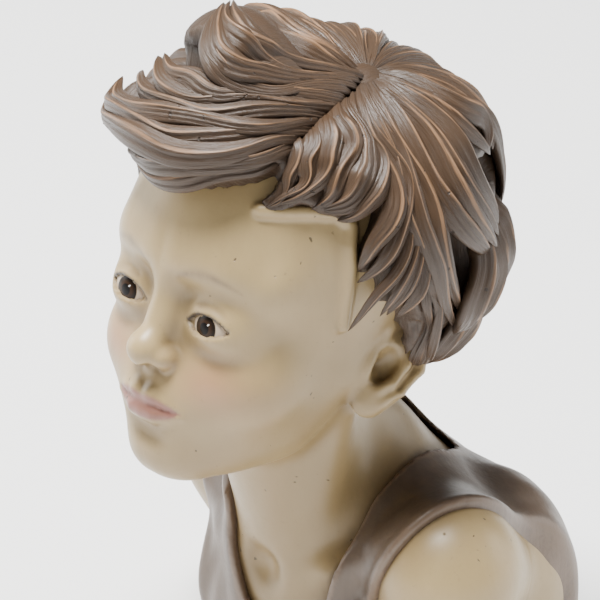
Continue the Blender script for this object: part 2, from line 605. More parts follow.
RIGHT = [
    [(-30, 44, .070), (-44, 38, .080), (-54, 30, .075), (-58, 20, .060), (-57, 10, .025)],
    [(-45, 52, .070), (-59, 43, .085), (-66, 32, .080), (-67, 18, .065), (-64, 5, .040),
     (-61, -5, .020)],
    [(-62, 58, .080), (-74, 45, .090), (-80, 32, .085), (-78, 18, .070), (-72, 3, .050),
     (-67, -12, .020)],
    [(-84, 50, .080), (-91, 38, .085), (-93, 25, .080), (-89, 10, .075), (-82, -3, .060),
     (-74, -14, .025)],
]
BEHIND_EAR = [
    [(88, 20, .060), (92, 8, .075), (96, -4, .080), (102, -15, .085), (111, -27, .090),
     (118, -33, .085)],
    [(88, 12, .060), (93, 0, .075), (98, -10, .080), (104, -22, .080), (113, -33, .080),
     (119, -38, .070)],
    [(90, 4, .055), (95, -7, .070), (101, -19, .070), (107, -30, .070), (113, -39, .060)],
    [(94, -4, .050), (101, -18, .060), (106, -32, .060), (108, -42, .045)],
]
LEDGE = [(30, 19), (36, 20), (43, 21.5), (50, 22.5), (58, 23), (63, 19), (63.5, 12), (65, 4), (66, -6),
         (67.5, -20)]


@dataclass
class Lock:
    """One lock of hair: the points it runs through, its half widths there, and the shape of its section."""

    points: Array
    half_width: Array
    crest: float
    drift: float
    flutes: float
    phase: float
    twist: float
    number: float


@dataclass
class Hair:
    """Carved hair: locks swept from the whorl and the parting to their tips, over a mass that fills in."""

    head: Head
    middle: Point = (0.0, 0.05, 0.10)
    samples: int = 44
    top_points: int = 24
    bottom_points: int = 6
    pitch: float = 0.045
    widest: float = 0.047
    depth: float = 0.78
    pull: float = 0.62
    wave: float = 0.010
    ear_gap: float = 0.020
    under: float = 0.011
    sparse: float = 1.2
    sparse_behind: float = 4.0
    sparse_far: float = 0.8
    edge_spread: float = math.radians(2.3)
    bias: float = 25.0
    root_reach: float = 4.0
    whorl: tuple[float, float] = (92.0, 72.5)
    whorl_rise: float = 0.022
    spread: float = math.radians(4.5)
    step: int = 2
    seed: int = 7
    locks: dict[str, list[Lock]] = field(default_factory=dict)
    mass: Array | None = None

    def __post_init__(self) -> None:
        """Lay the locks and fill up the mass under them."""
        rng = np.random.default_rng(self.seed)
        self.locks = {
            "fringe_locks": self.fan([self.rooted(g) for g in FRINGE], rng, (0, 2, 5, 6, 8)),
            "crown_locks": self.fan(CROWN, rng),
            "back_locks": self.fan([CROWN[-1]] + BACK, rng),
            "temple_locks": self.fan(LEFT, rng, (0, 3, 4, 6, 9)) + self.fan(RIGHT, rng),
            "nape_locks": self.fan(BEHIND_EAR, rng) + self.tiers(rng)}
        self.mass = self.settle([k for group in self.locks.values() for k in group])

    def rooted(self, guide: Guide) -> Guide:
        """The guide, started further back and low, so that its lock comes out from under its neighbour."""
        (lon, lat, _), (next_lon, next_lat, _) = guide[:2]
        shrink = math.cos(math.radians(lat))
        step = np.array([(lon - next_lon) * shrink, lat - next_lat])
        step = step * (self.root_reach / np.linalg.norm(step))
        return [(lon + step[0] / shrink, lat + step[1], 0.004)] + guide

    def curve(self, guide: Guide) -> Array:
        """Smooth path through a guide: rows of direction and height."""
        g = np.array(guide, float)
        knots = np.concatenate([heading(g[:, 0], g[:, 1]), g[:, 2:3]], 1)
        knots = np.vstack([2 * knots[0] - knots[1], knots, 2 * knots[-1] - knots[-2]])
        last = len(g) - 1
        t = np.linspace(0, last, self.samples)
        i = np.minimum(t.astype(int), last - 1)
        f = (t - i)[:, None]
        a, b, c, d = knots[i], knots[i + 1], knots[i + 2], knots[i + 3]
        path = 0.5 * (2 * b + (c - a) * f + (2 * a - 5 * b + 4 * c - d) * f ** 2
                      + (3 * b - a - 3 * c + d) * f ** 3)
        path[:, :3] = unit(path[:, :3])
        return path

    def between(self, a: Array, b: Array, t: float, keep: float) -> Array:
        """Path between two others, of which the fraction keep is kept from the root."""
        path = a * (1 - t) + b * t
        s = np.linspace(0, keep * (len(path) - 1), len(path))
        i = np.minimum(s.astype(int), len(path) - 2)
        f = (s - i)[:, None]
        path = path[i] * (1 - f) + path[i + 1] * f
        path[:, :3] = unit(path[:, :3])
        return path

    def gaps(self, points: Array) -> Array:
        """Distances between neighbouring paths, square to them, at each sample."""
        apart = points[1:] - points[:-1]
        tangent = unit(np.gradient(points[:-1], axis=1))
        square = apart - (apart * tangent).sum(2)[:, :, None] * tangent
        return np.linalg.norm(square, axis=2)

    def fan(self, guides: list[Guide], rng: np.random.Generator, starts: tuple[int, ...] = ()) -> list[Lock]:
        """Locks along guides and as many between each two as the gap asks for.

        Args:
            guides: neighbouring guides in order.
            rng: the seeded source of variation.
            starts: the guides at which a new bunch starts; with none, bunches have three or four locks.

        Returns:
            The locks.
        """
        paths = [self.curve(g) for g in guides]
        wide = np.quantile(self.gaps(self.lift(np.stack(paths))), 0.7, axis=1)
        rows, bunches = [], []
        for k, path in enumerate(paths):
            if k in starts:
                bunches.append(len(rows))
            rows.append(path)
            if k + 1 == len(paths):
                break
            fills = int(round(wide[k] / self.pitch)) - 1
            for j in range(max(fills, 0)):
                t = (j + 1 + rng.uniform(-0.15, 0.15)) / (fills + 1)
                filler = self.between(path, paths[k + 1], t, rng.uniform(0.84, 1.0))
                filler[:, 3] -= rng.uniform(0.0, 0.012) * np.sin(np.linspace(0, np.pi, self.samples))
                rows.append(filler)
        return self.row(rows, rng, bunches)

    def gather(self, points: Array, bunches: list[int]) -> Array:
        """Paths whose tips are drawn together in bunches.

        Args:
            points: paths by samples.
            bunches: the first path of each bunch.

        Returns:
            The changed paths.
        """
        pull = (self.pull * np.clip((np.linspace(0, 1, self.samples) - 0.5) / 0.5, 0, 1) ** 1.5)[:, None]
        made = points.copy()
        for first, last in zip(bunches, bunches[1:] + [len(points)]):
            made[first:last] += pull * (points[first:last].mean(0) - points[first:last])
        return made

    def sway(self, path: Array, rng: np.random.Generator) -> Array:
        """Small sideways wave of a path, none at its ends."""
        s = np.linspace(0, 1, len(path))
        tangent = unit(np.gradient(path, axis=0))
        side = unit(np.cross(tangent, path - np.asarray(self.middle)))
        swing = self.wave * 4 * s * (1 - s) * np.sin(
            2 * np.pi * (rng.uniform(1.2, 2.2) * s + rng.uniform(0, 1)))
        return side * swing[:, None]

    def row(self, paths: list[Array], rng: np.random.Generator, bunches: list[int]) -> list[Lock]:
        """Locks along neighbouring paths, each as wide as its room, with tips in bunches."""
        points = self.lift(np.stack(paths))
        if not bunches:
            bunches = [0]
            while bunches[-1] + 5 < len(paths):
                bunches.append(bunches[-1] + int(rng.integers(3, 5)))
        gap = self.gaps(points)
        gap = np.concatenate([gap[:1], gap, gap[-1:]])
        room = (gap[1:] + gap[:-1]) / 2
        smooth = np.ones(7) / 7
        locks = []
        for path, wide in zip(self.gather(points, bunches), room):
            wide = np.convolve(np.pad(wide, 3, mode="edge"), smooth, mode="valid") * rng.uniform(0.80, 1.05)
            wide = np.clip(wide, 0.010, self.widest * rng.uniform(0.7, 1.1))
            path = path + self.sway(path, rng)
            crest, drift = rng.uniform(-0.35, 0.35), rng.uniform(-0.25, 0.25)
            twist, number = rng.uniform(-0.25, 0.25), rng.uniform(0, 1)
            locks.append(Lock(path, wide, crest, drift, 4.0 + int(number * 97) % 3, number * 53 % 6.28,
                              twist, number))
        return locks

    def tiers(self, rng: np.random.Generator) -> list[Lock]:
        """Tiers of shorter locks round the back of the neck, whose tips flip outwards."""
        locks = []
        for top, drop, high, flip in ((16, 44, 0.085, 0.030), (-4, 38, 0.075, 0.010)):
            rows = []
            for k, lon in enumerate(np.arange(118, 266, 9.0)):
                sway = rng.uniform(-7, 7) + 6 * math.sin(k * 1.3)
                tip = rng.uniform(0.0, flip)
                fall = drop * rng.uniform(0.85, 1.05)
                rows.append(self.curve([(lon, top, .04), (lon + sway * .5, top - fall * .35, high),
                                        (lon + sway, top - fall * .7, high + tip * .5),
                                        (lon + sway * 1.8, top - fall, high - .015 + tip)]))
            locks += self.row(rows, rng, [])
        return locks

    def lift(self, paths: Array) -> Array:
        """Points of paths, each on its ray where the skull lies its height below."""
        rows = paths.reshape(-1, 4)
        near, far = np.full(len(rows), 0.15), np.full(len(rows), 1.1)
        start = np.asarray(self.middle)
        for _ in range(18):
            mid = (near + far) / 2
            inside = self.head.bare((start + rows[:, :3] * mid[:, None]).astype(np.float32)) < rows[:, 3]
            near, far = np.where(inside, mid, near), np.where(inside, far, mid)
        return (start + rows[:, :3] * ((near + far) / 2)[:, None]).reshape(*paths.shape[:2], 3)

    def cover(self, rows: Array, apart: Array) -> Array:
        """How fully the mass covers the skull: close to the locks under the fringe, widely elsewhere.

        Args:
            rows: directions from the middle of the head.
            apart: for each direction, the cosine of its angle to each point of the locks, less one.

        Returns:
            A share from 0 to 1 for each direction.
        """
        tight = np.clip(np.exp(apart / self.edge_spread ** 2).sum(1) / self.sparse - 1, 0, 1)
        far_side = np.clip((-rows[:, 0] - 0.30) / 0.3, 0, 1)
        sparse = self.sparse_behind + (self.sparse_far - self.sparse_behind) * far_side
        broad = np.clip(np.exp(apart / self.spread ** 2).sum(1) / sparse - 1, 0, 1)
        front = np.clip(-rows[:, 1] / 0.45, 0, 1) * np.clip((0.80 - rows[:, 2]) / 0.2, 0, 1)
        front = front * np.clip((rows[:, 0] + 0.55) / 0.3, 0, 1)
        crown = np.clip((rows[:, 2] - 0.68) / 0.08, 0, 1) * np.clip((rows[:, 1] + 0.64) / 0.08, 0, 1)
        cover = np.maximum(tight * front + broad * (1 - front), crown)
        return cover * cover * (3 - 2 * cover)

    def settle(self, locks: list[Lock]) -> Array:
        """Grid of the mass's height under the locks, by latitude and longitude, negative without hair."""
        points = np.concatenate([k.points[::2] for k in locks])
        where = unit(points - np.asarray(self.middle))
        high = self.head.bare(points.astype(np.float32))
        lon, lat = np.meshgrid(np.arange(-180, 181, self.step), np.arange(-72, 91, self.step))
        out = heading(lon.ravel(), lat.ravel())
        grid = []
        for rows in np.array_split(out, 40):
            apart = rows @ where.T - 1
            near = np.exp(apart / self.spread ** 2 + self.bias * high)
            cover = self.cover(rows, apart)
            rise = self.whorl_rise * np.exp((rows @ heading(*map(np.array, self.whorl)) - 1) / 0.006)
            mean = near @ high / np.maximum(near.sum(1), 1e-6)
            grid.append((mean - self.under + rise) * cover - 0.035 * (1 - cover))
        return np.concatenate(grid).reshape(lon.shape).astype(np.float32)

    def cap_shell(self, p: Array) -> Array:
        """Distance, in the head's frame, to the mass under the locks."""
        v = p - np.asarray(self.middle, np.float32)
        r = np.maximum(np.sqrt((v * v).sum(1)), 1e-6)
        x = (np.degrees(np.arctan2(v[:, 0], -v[:, 1])) + 180) / self.step
        y = (np.degrees(np.arcsin(np.clip(v[:, 2] / r, -1, 1))) + 72) / self.step
        rows, columns = self.mass.shape
        i, j = np.clip(y.astype(int), 0, rows - 2), np.clip(x.astype(int), 0, columns - 2)
        f, g = np.clip(y - i, 0, 1), np.clip(x - j, 0, 1)
        m = self.mass
        high = ((m[i, j] * (1 - f) + m[i + 1, j] * f) * (1 - g)
                + (m[i, j + 1] * (1 - f) + m[i + 1, j + 1] * f) * g)
        return carve(self.head.bare(p) - high.astype(np.float32), self.head.ears(p) - self.ear_gap, 0.01)

    def ledge(self) -> list[Point]:
        """Points along the edge of the hair at the temple, on the skin, in the head's frame."""
        g = np.array(LEDGE, float)
        path = np.concatenate([heading(g[:, 0], g[:, 1]), np.full((len(g), 1), 0.002)], 1)
        return [tuple(p) for p in self.lift(path[None])[0]]

    def section(self, lock: Lock, s: Array) -> tuple[Array, Array, Array]:
        """Across and up values of the lock's sections, and how near each point is to a crest.

        Args:
            lock: the lock.
            s: the fraction of the length of each section.

        Returns:
            Three arrays of sections by points.
        """
        u = np.linspace(1, -1, self.top_points)[None]
        at = (lock.crest + lock.drift * np.sin(2 * np.pi * (s + lock.number)))[:, None]
        side = np.abs(u - at) / np.where(u > at, 1 - at, 1 + at)
        ridge = (1 - side) ** 1.35
        body = np.sqrt(np.maximum(1 - u ** 2, 0.0))
        flute = np.abs(np.sin(0.5 * np.pi * lock.flutes * u + lock.phase))
        small = (1 - flute) ** 1.6 * np.sqrt(np.maximum(1 - np.abs(u), 0))
        top = 0.36 * body + 0.60 * ridge + 0.22 * small
        angle = np.linspace(np.pi, 2 * np.pi, self.bottom_points + 2)[1:-1]
        low = np.ones((len(s), 1))
        across = np.concatenate([low * u, low * np.cos(angle)], 1)
        up = np.concatenate([top, low * 0.6 * np.sin(angle)], 1)
        near = np.maximum(np.clip(1 - side * 2.6, 0, 1), 0.55 * small)
        return across, up, np.concatenate([near, np.zeros((len(s), self.bottom_points))], 1)

    def sweep(self, lock: Lock) -> tuple[Array, Array, Array]:
        """Vertices, triangles and per-vertex (across, along, crest, number) of a lock."""
        points = lock.points
        n = len(points)
        s = np.linspace(0, 1, n)
        across, up, crest = self.section(lock, s)
        m = across.shape[1]
        tangent = unit(np.gradient(points, axis=0))
        out = points - np.asarray(self.middle)
        normal = unit(out - (out * tangent).sum(1)[:, None] * tangent)
        side = np.cross(tangent, normal)
        c, k = np.cos(lock.twist * s)[:, None], np.sin(lock.twist * s)[:, None]
        normal, side = normal * c + side * k, side * c - normal * k
        swell = 0.15 + 0.85 * np.sqrt(np.minimum(1.0, s / 0.14))
        taper = np.clip((1 - s) / 0.36, 0, 1) ** 0.62
        wide = lock.half_width * swell * np.maximum(taper, 0.03)
        high = lock.half_width * self.depth * swell * np.maximum(taper, 0.06)
        rings = (points[:, None] + side[:, None] * (wide[:, None] * across)[:, :, None]
                 + normal[:, None] * (high[:, None] * up)[:, :, None])
        verts = np.concatenate([rings.reshape(-1, 3), rings[:1].mean(1), rings[-1:].mean(1)])
        length = np.concatenate([[0], np.cumsum(np.linalg.norm(np.diff(points, axis=0), axis=1))])
        edge = np.minimum(1, 4 * s) * np.minimum(1, 3 * taper)
        info = np.stack([(across * wide[:, None]).ravel(), np.repeat(length, m),
                         (crest * edge[:, None]).ravel(),
                         np.full(n * m, lock.number)], 1)
        info = np.concatenate([info, [[0, 0, 0, lock.number], [0, length[-1], 0.5, lock.number]]])
        i, j = (g.ravel() for g in np.meshgrid(np.arange(n - 1), np.arange(m), indexing="ij"))
        a, b = i * m + j, i * m + (j + 1) % m
        j = np.arange(m)
        start = np.stack([np.full(m, n * m), (j + 1) % m, j], 1)
        end = np.stack([np.full(m, n * m + 1), (n - 1) * m + j, (n - 1) * m + (j + 1) % m], 1)
        faces = np.concatenate([np.stack([a, b, b + m], 1), np.stack([a, b + m, a + m], 1), start, end])
        return verts, faces, info


# Shader building

class Value:
    """A number that varies over a surface; Python operators on it add Math nodes."""

    def __init__(self, nodes: "Nodes", socket: bpy.types.NodeSocket) -> None:
        """Wrap an output socket of a node tree."""
        self.nodes = nodes
        self.socket = socket

    def math(self, operation: str, *others: "Value | float", clamp: bool = False) -> "Value":
        """Result of a Math node whose first input is this value.

        Args:
            operation: the Math node's operation.
            others: its further inputs.
            clamp: whether the result is kept between 0 and 1.

        Returns:
            The result.
        """
        inputs = dict(enumerate((self, *others)))
        return self.nodes.add("ShaderNodeMath", {"operation": operation, "use_clamp": clamp}, inputs)

    def __add__(self, other: "Value | float") -> "Value":
        """Sum."""
        return self.math("ADD", other)

    __radd__ = __add__

    def __mul__(self, other: "Value | float") -> "Value":
        """Product."""
        return self.math("MULTIPLY", other)

    __rmul__ = __mul__

    def __sub__(self, other: "Value | float") -> "Value":
        """Difference."""
        return self.math("SUBTRACT", other)

    def __rsub__(self, other: float) -> "Value":
        """Difference from a number."""
        return (self * -1.0) + other

    def above(self, low: float, high: float) -> "Value":
        """Smooth step from 0 at low to 1 at high."""
        kind = {"interpolation_type": "SMOOTHSTEP"}
        return self.nodes.add("ShaderNodeMapRange", kind, {"Value": self, "From Min": low, "From Max": high})

    def held(self) -> "Value":
        """This value kept between 0 and 1."""
        return self.math("ADD", 0.0, clamp=True)


class Nodes:
    """Builds the node tree of one material."""

    def __init__(self, name: str) -> None:
        """Start a material with a Principled shader."""
        self.material = bpy.data.materials.new(name)
        self.material.use_nodes = True
        self.tree = self.material.node_tree
        self.shader = self.tree.nodes["Principled BSDF"]

    def add(self, kind: str, settings: dict | None = None, inputs: dict | None = None,
            output: int | str = 0) -> Value:
        """Any node: its settings first, then its sockets.

        Args:
            kind: the node's type.
            settings: attributes of the node, such as its operation.
            inputs: values or links by socket name or number.
            output: the output to return.

        Returns:
            The chosen output.
        """
        node = self.tree.nodes.new(kind)
        for key, value in (settings or {}).items():
            if key == "stops":
                self.fill_ramp(node.color_ramp, value)
            else:
                setattr(node, key, value)
        for key, value in (inputs or {}).items():
            self.feed(node.inputs[key], value)
        return Value(self, node.outputs[output])

    def fill_ramp(self, ramp: bpy.types.ColorRamp, stops: list[tuple[float, Colour]]) -> None:
        """Set the stops of a colour ramp."""
        while len(ramp.elements) < len(stops):
            ramp.elements.new(1.0)
        for element, (place, colour) in zip(ramp.elements, stops):
            element.position = place
            element.color = (*colour, 1.0)

    def feed(self, socket: bpy.types.NodeSocket, value: "Value | float | tuple") -> None:
        """Link a value to a socket, or set the socket to a plain number, colour or vector."""
        if isinstance(value, Value):
            self.tree.links.new(value.socket, socket)
        elif isinstance(value, tuple) and len(value) == 3 and socket.type == "RGBA":
            socket.default_value = (*value, 1.0)
        else:
            socket.default_value = value

    def attribute(self, name: str, output: str = "Fac") -> Value:
        """A value stored at the vertices."""
        return self.add("ShaderNodeAttribute", {"attribute_name": name}, None, output)

    def place(self) -> Value:
        """Position on the part in metres."""
        return self.add("ShaderNodeTexCoord", None, None, "Object")

    def noise(self, where: Value, scale: float, detail: float = 2.0, rough: float = 0.5) -> Value:
        """Noise between 0 and 1."""
        sizes = {"Vector": where, "Scale": scale, "Detail": detail, "Roughness": rough}
        return self.add("ShaderNodeTexNoise", None, sizes, "Fac")

    def scaled(self, where: Value, size: Point) -> Value:
        """A vector multiplied by another."""
        return self.add("ShaderNodeVectorMath", {"operation": "MULTIPLY"}, {0: where, 1: size}, 0)

    def mix(self, amount: Value | float, a: Value | Colour, b: Value | Colour) -> Value:
        """Colour between a and b."""
        node = self.tree.nodes.new("ShaderNodeMix")
        node.data_type = "RGBA"
        self.feed(node.inputs["Factor"], amount)
        self.feed(node.inputs[6], a)
        self.feed(node.inputs[7], b)
        return Value(self, node.outputs[2])

    def bump(self, height: Value, distance: float, strength: float = 1.0,
             under: Value | None = None) -> Value:
        """Normal of a height field over the surface."""
        inputs = {"Height": height, "Distance": distance, "Strength": strength}
        if under is not None:
            inputs["Normal"] = under
        return self.add("ShaderNodeBump", None, inputs, "Normal")

    def finish(self, **sockets: Value | float | tuple) -> bpy.types.Material:
        """Feed the Principled shader's sockets, named with underscores for spaces; return the material."""
        for key, value in sockets.items():
            self.feed(self.shader.inputs[key.replace("_", " ")], value)
        return self.material


@dataclass(frozen=True)
class SkinPaint:
    """Cream paint with an olive-brown wash in the recesses, blushed cheeks and mauve lips."""

    cream: Colour = (0.37, 0.262, 0.120)
    light: Colour = (0.47, 0.350, 0.175)
    wash: Colour = (0.110, 0.068, 0.026)
    shade: Colour = (0.165, 0.108, 0.048)
    blush: Colour = (0.42, 0.19, 0.105)
    lips: Colour = (0.235, 0.085, 0.075)
    brow: Colour = (0.13, 0.080, 0.040)
    lash: Colour = (0.03, 0.02, 0.014)
    pit: Colour = (0.05, 0.035, 0.02)

    def material(self) -> bpy.types.Material:
        """The finish as a material."""
        n = Nodes("cream_skin_paint")
        where = n.place()
        recess = n.attribute("recess")
        cloud = n.noise(where, 55.0, 4.0, 0.6)
        speckle = n.noise(where, 900.0, 3.0, 0.65)
        brush = n.noise(n.scaled(where, (420.0, 420.0, 90.0)), 1.0, 4.0, 0.6)
        base = n.mix((cloud * 0.9 + brush * 0.5 - 0.42).held(), self.cream, self.light)
        washed = (recess * 1.15 + (cloud - 0.5) * 0.35 + (brush - 0.5) * 0.30).above(0.12, 0.95)
        base = n.mix((n.attribute("under") * (0.85 + cloud * 0.3)).held() * 0.62, base, self.shade)
        colour = n.mix((n.attribute("blush") * (0.42 + cloud * 0.2)).held(), base, self.blush)
        colour = n.mix(washed * 0.86, colour, self.wash)
        colour = n.mix((n.attribute("lips") * (0.70 + brush * 0.25)).held(), colour, self.lips)
        colour = n.mix((n.attribute("brow") * (brush * 1.6 - 0.20)).held() * 0.75, colour, self.brow)
        colour = n.mix(n.attribute("lash"), colour, self.lash)
        pits = (1.0 - n.noise(where, 1150.0, 0.0)).above(0.80, 0.84)
        pits = pits * n.noise(where, 75.0, 1.0).above(0.56, 0.62)
        colour = n.mix(pits * 0.75, colour, self.pit)
        colour = n.mix(speckle.above(0.60, 0.80) * 0.16, colour, self.wash)
        height = brush * 0.5 + speckle * 0.35 + cloud * 0.6 - pits * 2.0
        rough = 0.40 + (speckle - 0.5) * 0.16 + washed * 0.16
        return n.finish(Base_Color=colour, Roughness=rough, Normal=n.bump(height, 0.00011, 0.55))


@dataclass(frozen=True)
class HairPaint:
    """Bronze-brown paint, dark in the grooves, rubbed with tan along the crests of the locks."""

    groove: Colour = (0.034, 0.021, 0.013)
    body: Colour = (0.056, 0.031, 0.016)
    grey: Colour = (0.054, 0.036, 0.024)
    tan: Colour = (0.27, 0.152, 0.080)

    def material(self) -> bpy.types.Material:
        """The finish as a material."""
        n = Nodes("bronze_hair_paint")
        where = n.place()
        strand = n.attribute("strand", "Vector")
        crest = n.attribute("crest")
        recess = n.attribute("recess")
        fine = n.noise(n.scaled(strand, (9000.0, 260.0, 50.0)), 1.0, 4.0, 0.62)
        broad = n.noise(n.scaled(strand, (2600.0, 110.0, 50.0)), 1.0, 3.0, 0.55)
        cloud = n.noise(where, 120.0, 3.0, 0.6)
        colour = n.mix((cloud * 1.6 - 0.45).held(), self.body, self.grey)
        shade = (recess * 1.1 + (fine - 0.5) * 0.9 + (broad - 0.5) * 0.7).above(0.22, 0.95)
        colour = n.mix(shade * 0.85, colour, self.groove)
        rubbed = ((crest * 1.0 + (fine - 0.5) * 0.8 + (broad - 0.5) * 0.5) - recess * 0.35).above(0.60, 1.02)
        colour = n.mix(rubbed * 0.85, colour, self.tan)
        pits = (1.0 - n.noise(where, 900.0, 0.0)).above(0.80, 0.83)
        pits = pits * n.noise(where, 70.0, 1.0).above(0.52, 0.6)
        colour = n.mix(pits, colour, self.groove)
        height = fine * 0.8 + broad * 1.4 - pits * 2.5
        rough = 0.40 + (fine - 0.5) * 0.22 + shade * 0.12
        return n.finish(Base_Color=colour, Roughness=rough, Specular_IOR_Level=0.38,
                        Normal=n.bump(height, 0.00016, 0.85))


@dataclass(frozen=True)
class VestPaint:
    """Dark brown satin paint, worn to bronze on its hems."""

    cloth: Colour = (0.084, 0.057, 0.038)
    worn: Colour = (0.20, 0.135, 0.090)
    deep: Colour = (0.058, 0.040, 0.028)

    def material(self) -> bpy.types.Material:
        """The finish as a material."""
        n = Nodes("dark_vest_paint")
        where = n.place()
        drag = n.noise(n.scaled(where, (380.0, 380.0, 60.0)), 1.0, 5.0, 0.62)
        grain = n.noise(where, 1500.0, 3.0, 0.6)
        cloud = n.noise(where, 60.0, 3.0, 0.55)
        recess = n.attribute("recess")
        edge = n.attribute("edge")
        colour = n.mix((drag * 1.5 - 0.42).held() * 0.42, self.cloth, self.worn)
        colour = n.mix((recess + (cloud - 0.5) * 0.4).above(0.15, 0.9) * 0.75, colour, self.deep)
        rubbed = (edge * 1.1 + (grain - 0.5) * 0.7 + (drag - 0.5) * 0.6).above(0.42, 1.0)
        colour = n.mix(rubbed * 0.6, colour, self.worn)
        height = drag * 1.0 + grain * 0.35
        rough = 0.36 + (grain - 0.5) * 0.15 + cloud * 0.08
        return n.finish(Base_Color=colour, Roughness=rough, Normal=n.bump(height, 0.00012, 0.6))


@dataclass(frozen=True)
class EyePaint:
    """Painted eye: off-white ball, dark brown iris with a black pupil and one small white dot."""

    white: Colour = (0.46, 0.36, 0.26)
    corner: Colour = (0.33, 0.18, 0.12)
    iris: Colour = (0.030, 0.016, 0.009)
    rim: Colour = (0.010, 0.007, 0.005)
    dot: Colour = (0.85, 0.83, 0.78)

    def material(self) -> bpy.types.Material:
        """The finish as a material, from the angle off the gaze that is stored at the vertices."""
        n = Nodes("eye_paint")
        off = n.attribute("off_gaze")
        streak = n.noise(n.place(), 2600.0, 3.0, 0.6)
        colour = n.mix(off.above(0.62, 1.0) * 0.6, self.white, self.corner)
        ring = n.mix(off.above(0.21, 0.36) * (0.6 + streak * 0.6), self.iris, self.rim)
        ring = n.mix(1.0 - off.above(0.155, 0.185), ring, (0.004, 0.003, 0.003))
        colour = n.mix(1.0 - off.above(0.385, 0.425), colour, ring)
        colour = n.mix(n.attribute("dot").above(0.5, 0.6), colour, self.dot)
        return n.finish(Base_Color=colour, Roughness=0.30, Specular_IOR_Level=0.12)


# Pieces

@dataclass
class Bench:
    """Turns meshes in head heights into objects in metres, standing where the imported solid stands."""

    offset: Array = field(default_factory=lambda: np.zeros(3))

    def centre_on(self, box: tuple[Array, Array], low: Array, high: Array) -> None:
        """Set the shift so that a figure with these corners stands in the middle of a box, on its floor.

        Args:
            box: lowest and highest corner of the solid, in metres.
            low: lowest corner of the figure, in head heights.
            high: highest corner of the figure, in head heights.
        """
        middle = (np.asarray(box[0]) + np.asarray(box[1])) / 2
        self.offset = middle - (low + high) / 2 * HEAD_HEIGHT
        self.offset[2] = box[0][2] - BASE * HEAD_HEIGHT

    def place(self, p: Array) -> Array:
        """Points in metres on the part."""
        return p * HEAD_HEIGHT + self.offset

    def mesh(self, name: str, verts: Array, faces: Array) -> bpy.types.Object:
        """New smooth object.

        Args:
            name: its name.
            verts: rows of x, y, z in head heights.
            faces: rows of vertex numbers, all of one length.

        Returns:
            The object.
        """
        mesh = bpy.data.meshes.new(name)
        mesh.vertices.add(len(verts))
        mesh.vertices.foreach_set("co", self.place(verts).astype(np.float32).ravel())
        mesh.loops.add(faces.size)
        mesh.loops.foreach_set("vertex_index", faces.astype(np.int32).ravel())
        mesh.polygons.add(len(faces))
        mesh.polygons.foreach_set("loop_start", np.arange(0, faces.size, faces.shape[1], dtype=np.int32))
        mesh.update(calc_edges=True)
        mesh.shade_smooth()
        made = bpy.data.objects.new(name, mesh)
        bpy.context.scene.collection.objects.link(made)
        return made

    def points(self, piece: bpy.types.Object) -> Array:
        """The piece's vertices in head heights."""
        flat = np.empty(len(piece.data.vertices) * 3, np.float32)
        piece.data.vertices.foreach_get("co", flat)
        return ((flat.reshape(-1, 3) - self.offset) / HEAD_HEIGHT).astype(np.float32)

    def normals(self, piece: bpy.types.Object) -> Array:
        """The piece's vertex normals."""
        flat = np.empty(len(piece.data.vertices) * 3, np.float32)
        piece.data.vertex_normals.foreach_get("vector", flat)
        return flat.reshape(-1, 3)

    def store(self, piece: bpy.types.Object, name: str, values: Array) -> None:
        """Keep one number, or one vector, for each vertex."""
        kind, key = ("FLOAT", "value") if values.ndim == 1 else ("FLOAT_VECTOR", "vector")
        made = piece.data.attributes.new(name, kind, "POINT")
        made.data.foreach_set(key, values.astype(np.float32).ravel())

    def thin(self, piece: bpy.types.Object, triangles: int, keep: Array) -> None:
        """Thin a dense mesh to a number of triangles, most where keep is low.

        Args:
            piece: the object.
            triangles: how many triangles may stay.
            keep: for each vertex, 1 where detail stays and 0 where it may go.
        """
        group = piece.vertex_groups.new(name="thin")
        levels = np.clip(((1 - keep) * 8).round(), 0, 8).astype(int)
        for level in range(1, 9):
            group.add(np.flatnonzero(levels == level).tolist(), level / 8, "REPLACE")
        modifier = piece.modifiers.new("thin", "DECIMATE")
        modifier.ratio = min(1.0, triangles / (2 * len(piece.data.polygons)))
        modifier.vertex_group = group.name
        modifier.vertex_group_factor = 4.0
        bpy.context.view_layer.update()
        mesh = bpy.data.meshes.new_from_object(piece.evaluated_get(bpy.context.evaluated_depsgraph_get()))
        piece.modifiers.clear()
        piece.vertex_groups.clear()
        piece.data = mesh
        mesh.name = piece.name
        mesh.shade_smooth()

    def dress(self, piece: bpy.types.Object, material: bpy.types.Material) -> bpy.types.Object:
        """Give the piece its material and say what it stands for."""
        piece.data.materials.clear()
        piece.data.materials.append(material)
        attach(piece, "root")
        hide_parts(NODE)
        LOG.info("%s: %d triangles", piece.name, sum(len(f.vertices) - 2 for f in piece.data.polygons))
        return piece


